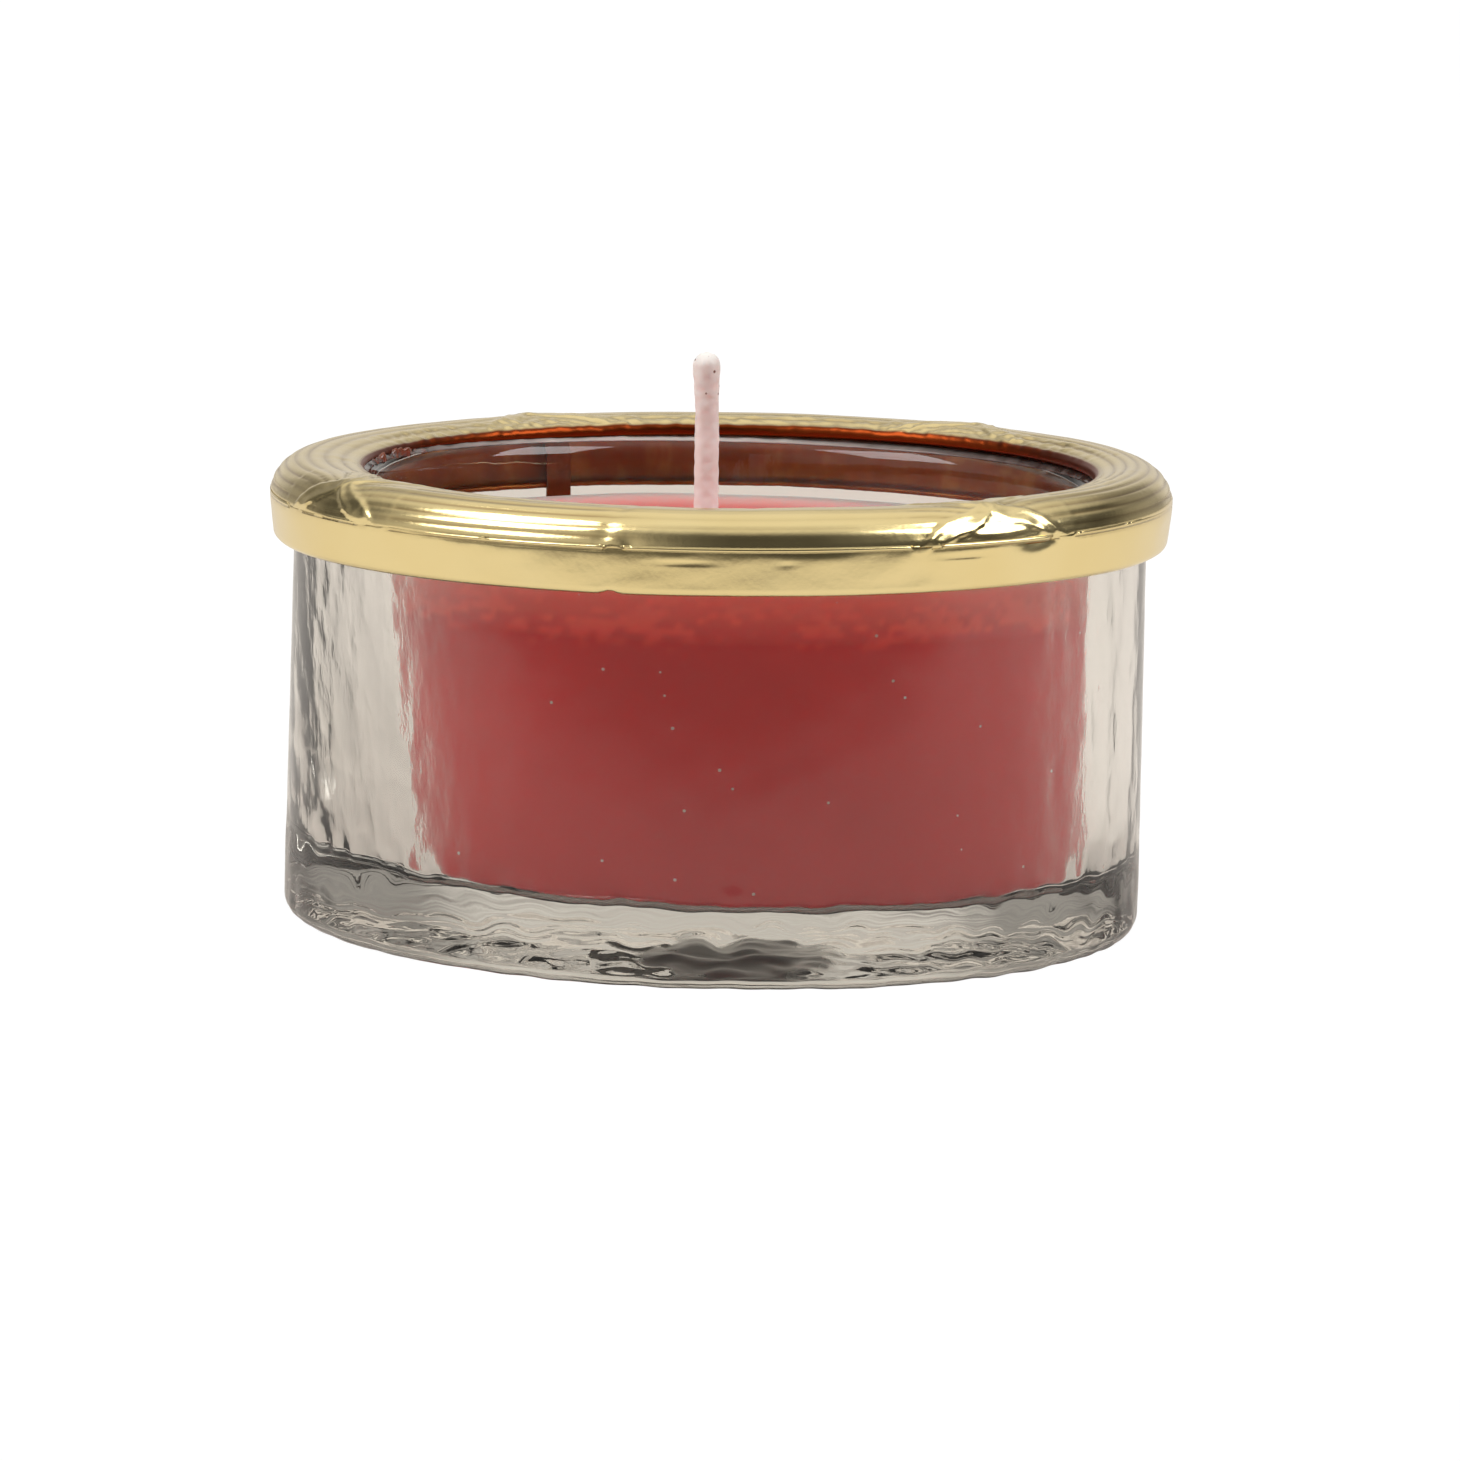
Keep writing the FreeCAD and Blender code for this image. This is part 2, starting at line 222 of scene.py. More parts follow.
cupHigh = corners("glass_cup")[1]
rimLow, rimHigh = corners("brass_rim")
waxLow, waxHigh = corners("wax_fill")
wickLow, wickHigh = corners("wick")
baseRadius = cupHigh[0]
rimRadius = rimHigh[0]
skirtZ, crestZ = rimLow[2], rimHigh[2]
lipZ = cupHigh[2]
waxRadius, waxZ = waxHigh[0], waxHigh[2]
floorZ = waxLow[2]
wickX = (wickLow[0] + wickHigh[0]) / 2
cavityRadius = waxRadius + 0.33  # at the lip
cavityShift = 0.9  # at the lip, the plunger came down this far to the right of the mould's axis
cavitySwing = 1.7  # and this much further at the floor
cavityTaper = 0.042  # share of its radius that the cavity has lost at the floor


def cavityLean(z):
    # how far the plunger had tapered and swung to the right at a height: 0 at the lip, 1 at the floor
    return np.clip((lipZ - z) / (lipZ - floorZ), 0, 1)


def cavityPlace(x, y, z):
    # a point of the round cavity, drawn in towards the axis and moved to the right as the cavity tapers
    lean = cavityLean(z)
    scale = 1 - cavityTaper * lean
    return x * scale + cavityShift + cavitySwing * lean, y * scale


# glass cup

cup = {
    "flare": 0.45,  # the base is this much wider in radius than the lip
    "cavityDraft": 0.5,
    "lipRound": 2.0,
    "floorCorner": 1.4,
    "heelRound": 1.5,
    "footWidth": 4.0,
    "puntSlope": 14.0,
    "puntDepth": 0.9,
    "puntRound": 2.0,
    "taperEnd": 2.0,  # the flare ends this far below the brass
    "spacing": 0.82,  # between the rows of points
    "padRadius": 6.6,  # the flat raised pad that the wick's foot is stuck on
    "padHeight": 0.09,
    "columns": 448,
    "wallRipple": 0.052,  # upright ripples that the plunger leaves in the cavity wall
    "floorRipple": 0.14,  # chill wrinkles in the cavity floor
    "outerRipple": 0.02,
    "baseRipple": 0.06,
    "coldPatch": (1.8, -21.0, 8.5, 14.0),  # a wrinkled patch under the base: middle, half width, half length
    "coldRipple": 0.16,
    "coldRoughness": 0.34,
    "haze": 0.07,  # roughness of the cavity's chilled skin
    "chillGrain": 1.5,
    "tint": (0.72, 0.70, 0.60, 1),
    "tintDensity": 9.0,  # per metre
}


def cavitySkin(x, y, z):
    # how far the cavity's skin stands off its smooth shape: upright wavering streaks on the wall, made of waves
    # that are stretched along Z, and rounder wrinkles on the floor
    wall = step(z, floorZ + 1.5, floorZ + 4) * (1 - step(z, lipZ - 3.5, lipZ - 1.5))
    streaks = 0.6 * waves(x, y, z * 0.12, 6.5, 11) + 0.25 * waves(x, y, z * 0.3, 2.6, 12)
    streaks = streaks * (0.8 + 0.3 * waves(x, y, z * 0.6, 18, 13)) + 0.12 * waves(x, y, z * 0.7, 1.5, 21)
    floor = 1 - step(z, floorZ + 1.0, floorZ + 4)
    wrinkles = 0.8 * waves(x, y, z, 7, 16) + 0.45 * waves(x, y, z, 2.8, 17)
    floor = floor * step(np.hypot(x, y), 8, 12)  # flat where the wick's foot is stuck down
    return cup["wallRipple"] * wall * streaks + cup["floorRipple"] * floor * wrinkles


def makeCup():
    # a profile turned about Z, from the middle of the punt out to the heel, up the wall, over the lip and down
    # to the middle of the cavity's floor; each point is then moved along the profile's normal by waves
    c = cup
    topRadius = baseRadius - c["flare"]
    foot = baseRadius - c["footWidth"]
    r, z, leg = roundedPath([
        (0, c["puntDepth"]), (foot - c["puntSlope"], c["puntDepth"], c["puntRound"]), (foot, 0, c["puntRound"]),
        (baseRadius, 0, c["heelRound"]), (topRadius, skirtZ - c["taperEnd"]), (topRadius, lipZ, c["lipRound"]),
        (cavityRadius, lipZ, c["lipRound"]), (cavityRadius - c["cavityDraft"], floorZ, c["floorCorner"]),
        (0, floorZ)], c["spacing"], 7)
    nr, nz = pathNormals(r, z)
    turn = np.linspace(0, 2 * np.pi, c["columns"], endpoint=False)
    radius, height, part = r[:, None], z[:, None], leg[:, None]
    x, y = radius * np.cos(turn), radius * np.sin(turn)
    zz = height + 0 * turn
    inside = step(part, 5.9, 6.1)
    outer = step(part, 3.0, 3.2) * (1 - step(part, 4.6, 5.0))
    bottom = 1 - step(part, 1.6, 2.4)
    heel = bump(part, 3.0, 0.25)
    move = inside * cavitySkin(x, y, zz) * step(radius, 0.5, 6)
    move += outer * c["outerRipple"] * (waves(x, y, zz * 0.3, 12, 14) + 0.4 * waves(x, y, zz, 3.5, 15))
    rough = waves(x, y, 0 * zz, 7, 18) + 0.35 * waves(x, y, 0 * zz, 3.0, 19)
    move += bottom * c["baseRipple"] * rough * step(radius, 0.5, 4)
    cx, cy, halfWide, halfLong = c["coldPatch"]
    edge = np.hypot((x - cx) / halfWide, (y - cy) / halfLong) + 0.12 * waves(x, y, 0 * zz, 3.5, 23)
    creases = waves(x, y, 0 * zz, 5.5, 24) + 0.35 * waves(x, y, 0 * zz, 2.8, 25)
    frost = bottom * (1 - step(edge, 0.8, 1.0))
    move += c["coldRipple"] * creases * frost
    move += heel * 0.05 * (waves(x, y, zz, 4, 20) - 1)
    floorX, floorY = cavityPlace(x, y, floorZ)
    fromWick = np.hypot(floorX - wickX, floorY)
    move += c["padHeight"] * step(part, 7.2, 7.4) * (1 - step(fromWick, c["padRadius"], c["padRadius"] + 1))
    px, py = x + move * nr[:, None] * np.cos(turn), y + move * nr[:, None] * np.sin(turn)
    innerX, innerY = cavityPlace(px, py, zz)
    innerShare = step(part, 5.0, 6.0)
    px, py = px + (innerX - px) * innerShare, py + (innerY - py) * innerShare
    pz = np.maximum(zz + move * nz[:, None], 0)
    wall = inside * step(zz, floorZ + 0.5, floorZ + 2) * (1 - step(zz, lipZ - 3, lipZ - 1))
    return gridMesh("pressed_glass_cup", px, py, pz, poles=True, values={"cavity": wall, "frost": frost})


def glassMaterial():
    # clear soda-lime glass, pressed in a mould: sharp reflections outside, and a fine chill texture where the
    # plunger pressed the cavity, which smears what is seen through it
    material, tree, shader = newMaterial("pressed_soda_lime_glass")
    setShader(shader, colour=linear("f9f7f3"), ior=1.5, transmission=1.0)
    coords = addNode(tree, "ShaderNodeTexCoord")
    cavity = addNode(tree, "ShaderNodeAttribute", attribute_name="cavity")
    long = addNode(tree, "ShaderNodeMapping", [("Vector", coords.outputs["Object"]), ("Scale", (1, 1, 0.45))])
    ripple = addNode(tree, "ShaderNodeTexNoise", [("Vector", long.outputs[0]),
                                                  ("Scale", 1 / (cup["chillGrain"] * mm)),
                                                  ("Detail", 3.0), ("Roughness", 0.5)])
    depth = addNode(tree, "ShaderNodeMapRange", [(0, cavity.outputs["Fac"]), (3, 0.06), (4, 0.36)])
    skin = addNode(tree, "ShaderNodeBump", [("Strength", depth.outputs[0]), ("Distance", 0.10 * mm),
                                            ("Height", ripple.outputs["Fac"])])
    tree.links.new(skin.outputs[0], shader.inputs["Normal"])
    haze = addNode(tree, "ShaderNodeMapRange", [(0, cavity.outputs["Fac"]), (3, 0.0), (4, cup["haze"])])
    frost = addNode(tree, "ShaderNodeAttribute", attribute_name="frost")
    rough = addNode(tree, "ShaderNodeMath", [(0, frost.outputs["Fac"]), (1, cup["coldRoughness"]),
                                             (2, haze.outputs[0])],
                    operation="MULTIPLY_ADD")
    tree.links.new(rough.outputs[0], shader.inputs["Roughness"])
    body = addNode(tree, "ShaderNodeVolumeAbsorption",
                   [("Color", cup["tint"]), ("Density", cup["tintDensity"])])
    output = next(node for node in tree.nodes if node.type == "OUTPUT_MATERIAL")
    tree.links.new(body.outputs[0], output.inputs["Volume"])  # iron in the glass: long paths turn olive-grey
    return material


# brass rim

rim = {
    "sheet": 0.45,
    "overhang": 2.3,
    "spacing": 0.2,  # between the rows of points
    "innerEvery": 6,  # the plain inner face keeps one row in six
    "gripGap": 0.38,
    "reach": 5.8,
    "shoulderRound": 3.5,
    "curlRound": 0.65,
    "curlIn": 0.45,
    "curlRise": 0.12,  # the curled edge ends a little higher against the glass
    "bandHeight": 3.7,  # the plain band, up to where the shoulder begins to lean in
    "bandRound": 14.0,
    "crestRound": 8.0,
    "lipBend": 0.75,
    "openingShift": 0.7,  # the opening sits this far to the right, like the cavity
    "crestDrop": 0.35,  # the crown was pressed a little lower than the CAD's
    "crestWidth": 5.0,
    "crownDrop": 0.8,
    "turnedLip": 1.0,
    "reedStart": 4.15,  # height of the first groove above the skirt's lower edge
    "shoulderPitch": 1.05,
    "crownPitch": 1.4,
    "reedDepth": 0.17,
    "wander": 0.10,
    "hammering": 0.055,
    "wrinkles": 0.045,
    "reedHeights": ((-180, 0.55), (-120, 0.6), (-75, 0.75), (-45, 0.65), (-16, 0.7), (-9, 0.18), (22, 0.15),
                    (27, 0.7), (60, 0.7), (100, 0.75), (140, 0.6)),  # wear, by degrees from the front
    "tiesAt": (-150.5, -57.7, 36.1, 141.0),  # degrees from the front, to the right
    "tieLength": 19.0,
    "pinchLength": 4.2,  # half the length over which the reeds draw together
    "pinch": 0.30,
    "ribbonWidth": 2.3,
    "ribbonSlope": 0.62,
    "ribbonHeight": 0.13,
    "knotHeight": 0.16,
    "beadAt": -12.1,
    "beadHeight": 0.22,
    "nick": 0.42,
    "dents": ((10.5, 8.0, 4.5, 0.5, 0.16), (-4.0, 5.0, 3.1, 0.14, 0.06), (8.0, 1.4, 3.0, 0.14, 0.06),
              (31.0, 4.5, 3.3, 0.16, 0.07), (42.0, 4.5, 4.3, 0.9, 0.30), (34.5, 5.0, 4.9, 0.5, 0.20)),
    "columns": 860,
    "tilt": 0.013,  # rise to the right, as the strip was pressed on by hand
    "tip": 0.010,  # rise to the back
}


def turnFromFront(degrees):
    # angle about Z, counted from the front (-Y) towards +X
    return math.radians(degrees - 90)


def makeRim():
    # the strip's section carried once round the axis. Its outer face bulges in reeds: the groove depth times
    # one less the square root of the sine of the phase, where the phase grows by pi for each reed. At a tie
    # the reeds pinch together, and two ribbons cross over them.
    c = rim
    glassRadius = rimRadius - c["overhang"]
    grip = glassRadius + c["gripGap"]
    crownRadius = glassRadius - c["reach"]
    crest = crestZ - c["crestDrop"]
    crownZ = crest - c["crownDrop"]
    r, z, leg = roundedPath([
        (grip, skirtZ + c["curlRise"]), (rimRadius - c["curlIn"], skirtZ, c["curlRound"]),
        (rimRadius, skirtZ + c["bandHeight"], c["bandRound"]), (rimRadius, crest, c["shoulderRound"]),
        (rimRadius - c["crestWidth"], crest, c["crestRound"]), (crownRadius, crownZ, c["lipBend"]),
        (crownRadius, crownZ - c["turnedLip"])], c["spacing"], 6)
    nr, nz = pathNormals(r, z)
    along = np.concatenate([[0], np.cumsum(np.hypot(np.diff(r), np.diff(z)))])
    firstGroove = along[np.argmin(np.abs(z - skirtZ - c["reedStart"]) + (r < rimRadius - 1) * 99)]
    shoulderEnd = along[np.argmin(np.abs(r - (rimRadius - c["shoulderRound"])) + (z < crest - 1) * 99)]
    lastGroove = along[-1] - c["turnedLip"] - 0.35

    # columns crowd together at the ties, where the pattern is finest
    even = np.linspace(0, 2 * np.pi, 7201)
    crowd = np.ones_like(even)
    for tie in c["tiesAt"]:
        gap = (even - turnFromFront(tie) + np.pi) % (2 * np.pi) - np.pi
        crowd += 1.6 * bump(gap, 0, 0.26)
    share = np.concatenate([[0], np.cumsum((crowd[1:] + crowd[:-1]) / 2)])
    turn = np.interp(np.arange(c["columns"]) / c["columns"], share / share[-1], even)
    s, a = along[:, None], turn[None, :]
    radius, height = r[:, None], z[:, None]
    x, y, zz = radius * np.cos(a), radius * np.sin(a), height + 0 * a

    middle = (firstGroove + lastGroove) / 2
    wander = c["wander"] * waves(x, y, 0 * zz, 30, 31)
    place = s + wander
    ribbon = np.zeros_like(x)
    knot = np.zeros_like(x)
    fade = np.ones_like(x)
    for number, tie in enumerate(c["tiesAt"]):
        gap = (a - turnFromFront(tie) + np.pi) % (2 * np.pi) - np.pi
        run = gap * rimRadius
        near = bump(run, 0, c["pinchLength"])
        place = place + (s - middle) * c["pinch"] * near
        half = c["tieLength"] / 2
        inside = 1 - step(np.abs(run), half - 0.35, half)
        slope = c["ribbonSlope"] + 0.05 * math.sin(number * 2.1)
        for way in (1, -1):
            off = (s - middle) - way * slope * run + 0.35 * np.sin(run * 0.8 + way + number)
            off = off / math.hypot(1, slope)
            edge = c["ribbonWidth"] / 2
            band = (1 - step(np.abs(off), edge - 0.5, edge)) * inside
            hollow = 0.45 * bump(off, 0, edge * 0.4)
            ribbon = np.maximum(ribbon, band * (1 - hollow))
        knot = np.maximum(knot, bump(run, 0, 1.5) * bump(s, middle, 1.3))
        fade = fade * (1 - 0.35 * inside)
        fade = fade * (1 - 0.5 * bump(np.abs(run), half, 0.35))
    onCrown = step(place, shoulderEnd - 1, shoulderEnd + 0.6)
    pitch = c["shoulderPitch"] + (c["crownPitch"] - c["shoulderPitch"]) * onCrown
    reedsTo = np.cumsum(np.vstack([np.zeros_like(place[:1]), np.diff(place, axis=0) / pitch[1:]]), axis=0)
    startRow = np.argmin(np.abs(along - firstGroove))
    phase = (reedsTo - reedsTo[startRow]) * np.pi
    reeded = step(s, firstGroove - 0.55, firstGroove + 0.05) * (1 - step(s, lastGroove - 0.2, lastGroove + 0.4))
    groove = 1 - np.abs(np.sin(phase)) ** 0.55
    degrees, heights = np.array(c["reedHeights"]).T
    worn = np.interp(np.degrees(a) + 90, np.concatenate([degrees, degrees + 360]), np.tile(heights, 2))
    worn = worn * (1 - 0.6 * bump(s, firstGroove, 0.45))
    relief = -c["reedDepth"] * groove * fade * reeded * worn
    over = np.clip(ribbon, 0, 1) * reeded
    relief = relief * (1 - over) + (c["ribbonHeight"] + 0.02 * waves(x, y, zz, 1.6, 32)) * over
    relief += c["knotHeight"] * knot * reeded

    # hand-worked unevenness: wrinkles on the crown, dents along the plain band
    crown = step(s, shoulderEnd - 1.5, shoulderEnd + 1.5) * (1 - step(s, lastGroove - 0.3, along[-1]))
    wrinkle = waves(x, y, zz, 2.6, 33) * step(waves(x, y, zz, 11, 34), -0.2, 1.4)
    band = step(s, 1.6, 2.6) * (1 - step(s, firstGroove - 0.6, firstGroove))
    atBack = step(y, 4, 20)
    hammered = waves(x, y, zz, 1.3, 37) + 0.7 * np.abs(waves(x, y, zz, 2.3, 38))
    relief += c["wrinkles"] * crown * wrinkle
    relief += c["hammering"] * hammered * crown * atBack * step(s, lastGroove - 3.2, lastGroove - 2)
    relief += 0.035 * waves(x, y, zz, 16, 35) + 0.012 * waves(x, y, zz * 2, 5, 36) * (0.4 + band)

    # butt joint of the strip: a bead of solder over a shallow crease, and a nick in the skirt's edge below it
    gap = (a - turnFromFront(c["beadAt"]) + np.pi) % (2 * np.pi) - np.pi
    run = gap * rimRadius
    joint = step(s, firstGroove - 0.4, firstGroove + 1.0) * (1 - step(s, lastGroove - 1, lastGroove))
    relief = relief * (1 - 0.65 * bump(run, 0.6, 2.6) * joint)
    relief += -0.07 * bump(run - 0.35 * (s - middle), -0.4, 0.6) * joint
    relief += c["beadHeight"] * bump(run, -0.5, 0.9) * bump(s, firstGroove + 1.1, 0.6)
    relief += -0.12 * bump(run, 0.9, 0.8) * bump(s, firstGroove + 1.3, 0.7)
    # dents and scratches: degrees from the front, length, height above the skirt's edge, breadth, depth
    for degree, length, rise, breadth, depth in c["dents"]:
        gap = (a - turnFromFront(degree) + np.pi) % (2 * np.pi) - np.pi
        relief += -depth * bump(gap * rimRadius, 0, length / 2) * bump(s, firstGroove - c["reedStart"] + rise,
                                                                       breadth)
    lower = 1 - step(s, 0.4, 2.6)
    nick = c["nick"] * bump(run, -0.9, 0.65) * lower

    shift = c["openingShift"] * step(s, shoulderEnd - 1, lastGroove)
    ox = (radius + relief * nr[:, None]) * np.cos(a) + shift
    oy = (radius + relief * nr[:, None]) * np.sin(a)
    oz = zz + relief * nz[:, None] + nick

    # the inner face is the smooth outer face moved in by the sheet's thickness, run back the other way
    keep = np.arange(0, len(r), c["innerEvery"])[::-1]
    ir, iz = r[keep] - nr[keep] * c["sheet"], z[keep] - nz[keep] * c["sheet"]
    soft = relief[keep] * 0.5
    ix = (ir[:, None] + soft * nr[keep][:, None]) * np.cos(a) + shift[keep]
    iy = (ir[:, None] + soft * nr[keep][:, None]) * np.sin(a)
    izz = iz[:, None] + 0 * a + soft * nz[keep][:, None] + nick[keep]
    px, py, pz = np.vstack([ox, ix]), np.vstack([oy, iy]), np.vstack([oz, izz])
    pz = pz + c["tilt"] * px + c["tip"] * py
    near = np.hypot(px - c["openingShift"], py) < crownRadius + 1.2
    pz = np.where(near, np.maximum(pz, lipZ - 0.12), pz)  # the turned edge stops above the glass
    reach = np.hypot(px, py)
    trim = np.minimum(1, (rimRadius - 0.005) / reach)
    px, py = px * trim, py * trim
    # painted shade: this groove mask darkens the brass colour in the grooves, standing in for the shade of light
    # bouncing between the reeds
    dark = np.vstack([np.clip(groove * reeded * (1 - over) * fade * worn, 0, 1), 0 * ix])
    # a half value marks the turned lip, which the brass material paints with shade and a reflection of the red wax
    inside = np.vstack([0 * ox + 0.5 * step(s, lastGroove - 0.1, lastGroove + 0.3), 0 * ix + 1])
    inside[0] = inside[-1] = 1
    return gridMesh("reeded_brass_rim", px, py, pz, closedRows=True, values={"groove": dark, "inside": inside})


def brassMaterial():
    # thin brass strip, stamped and polished, then lacquered: soft mirror, with painted shade browning the grooves,
    # painted shade and a painted reflection of the red wax on the turned inner lip, and dull heat-stained brown on
    # the face that was never polished
    material, tree, shader = newMaterial("polished_stamped_brass")
    setShader(shader, metallic=1.0)
    coords = addNode(tree, "ShaderNodeTexCoord")
    groove = addNode(tree, "ShaderNodeAttribute", attribute_name="groove")
    inside = addNode(tree, "ShaderNodeAttribute", attribute_name="inside")
    cloud = addNode(tree, "ShaderNodeTexNoise", [("Vector", coords.outputs["Object"]), ("Scale", 1 / (9 * mm)),
                                                 ("Detail", 4.0)])
    body = addNode(tree, "ShaderNodeValToRGB", [(0, cloud.outputs["Fac"])],
                   stops=[(0.3, "f1dda1"), (0.7, "f6e4ab")]).outputs[0]
    # painted shade: the grooves are browned where light bounces between the reeds
    grooveShaded = addNode(tree, "ShaderNodeMix", [(0, groove.outputs["Fac"]), (6, body), (7, linear("7d5a28"))],
                      data_type="RGBA").outputs[2]
    dullCloud = addNode(tree, "ShaderNodeTexNoise",
                        [("Vector", coords.outputs["Object"]), ("Scale", 1 / (5 * mm)), ("Detail", 6.0)])
    dull = addNode(tree, "ShaderNodeValToRGB", [(0, dullCloud.outputs["Fac"])],
                   stops=[(0.3, "93512a"), (0.55, "ad6a34"), (0.75, "cc9450")]).outputs[0]
    # painted shade and painted reflection: the turned inner lip is multiplied to orange-brown, standing in for its
    # shade and the red wax it reflects
    lipPaintedShade = addNode(tree, "ShaderNodeValToRGB", [(0, inside.outputs["Fac"])],
                   stops=[(0.0, "ffffff"), (0.5, "7e3a22"), (0.9, "ffffff")]).outputs[0]
    lipShadedBrass = addNode(tree, "ShaderNodeMix", [(0, 1.0), (6, grooveShaded), (7, lipPaintedShade)], data_type="RGBA",
                   blend_type="MULTIPLY").outputs[2]
    innerFace = addNode(tree, "ShaderNodeMath", [(0, inside.outputs["Fac"]), (1, 0.75)],
                        operation="GREATER_THAN")
    colour = addNode(tree, "ShaderNodeMix", [(0, innerFace.outputs[0]), (6, lipShadedBrass), (7, dull)],
                     data_type="RGBA").outputs[2]
    tree.links.new(colour, shader.inputs["Base Color"])
    polish = addNode(tree, "ShaderNodeMapRange", [(0, cloud.outputs["Fac"]), (1, 0.3), (2, 0.7), (3, 0.14),
                                                  (4, 0.24)])
    rough = addNode(tree, "ShaderNodeMath", [(0, inside.outputs["Fac"]), (1, 0.3), (2, polish.outputs[0])],
                    operation="MULTIPLY_ADD")
    tree.links.new(rough.outputs[0], shader.inputs["Roughness"])
    grain = addNode(tree, "ShaderNodeTexNoise", [("Vector", coords.outputs["Object"]),
                                                 ("Scale", 1 / (0.7 * mm)), ("Detail", 5.0)])
    skin = addNode(tree, "ShaderNodeBump", [("Strength", 0.26), ("Distance", 0.05 * mm),
                                            ("Height", grain.outputs["Fac"])])
    tree.links.new(skin.outputs[0], shader.inputs["Normal"])
    return material


# wax

wax = {
    "columns": 520,
    "gap": 0.06,  # the wax shrank off the glass by this much as it cooled
    "lift": 0.10,  # air under the wax, which lets the floor of the glass mirror
    "bandTop": 35.4,  # where the last pour clings to the glass
    "bandLow": 30.0,
    "topEdge": 0.5,
    "wallRise": 0.12,
    "wickRise": 0.5,
    "shadeDepth": 14,  # painted shade: the colour darkens from this far under the top down to the floor
    "glowDepth": 6,  # and painted light from above pales it from this far under the top upwards
    "mottleGrain": 3.0,
    "dustSpacing": 3.0,
}


def makeWax():
    # a profile turned about Z: up the wall, over a soft edge and in along the top. The wall follows the cavity's
    # skin, a little inside it; in the last pour's band it is mottled where it once clung. The top rises at the wall
    # and at the wick.
    w = wax
    low = cavityRadius - cup["cavityDraft"] * (lipZ - floorZ - w["lift"]) / (lipZ - floorZ)
    high = cavityRadius - cup["cavityDraft"] * (lipZ - waxZ) / (lipZ - floorZ)
    r, z, leg = roundedPath([
        (0, floorZ + w["lift"]), (low - w["gap"], floorZ + w["lift"], cup["floorCorner"]),
        (high - w["gap"], waxZ, w["topEdge"]), (0, waxZ)], 0.55, 8)
    nr, nz = pathNormals(r, z)
    turn = np.linspace(0, 2 * np.pi, w["columns"], endpoint=False)
    radius, height, part = r[:, None], z[:, None], leg[:, None]
    x, y = radius * np.cos(turn), radius * np.sin(turn)
    zz = height + 0 * turn
    top = step(part, 1.95, 2.0)
    patches = 0.7 * waves(x, y, zz * 2.2, 8, 43) + 0.8 * waves(x, y, zz * 2.6, 3.0, 44)
    patches = patches + 0.7 * waves(x, y, zz * 2.2, 1.5, 45)
    band = step(zz, w["bandLow"] - 1.2, w["bandLow"] + 2.4) * (1 - step(zz, w["bandTop"] - 1.5,
                                                                        w["bandTop"] + 0.3))
    cling = step(patches + 1.5 * band - 1.3, -0.1, 0.9) * band * (1 - top)
    move = -(1 - top) * cavitySkin(x, y, zz)
    wickGap = np.hypot(x + cavityShift - wickX, y)
    rise = w["wallRise"] * bump(radius, high, 1.0) + w["wickRise"] * bump(wickGap, 0.8, 1.0) - 0.12
    rise = rise + 0.05 * waves(x, y, 0 * zz, 14, 42)
    px, py = cavityPlace(x + move * nr[:, None] * np.cos(turn), y + move * nr[:, None] * np.sin(turn), zz)
    pz = zz + (1 - top) * move * nz[:, None] + top * rise
    pz[0], pz[-1] = pz[0].mean(), pz[-1].mean()
    return gridMesh("poured_red_wax", px, py, pz, poles=True, values={"cling": cling, "top": top + 0 * zz})


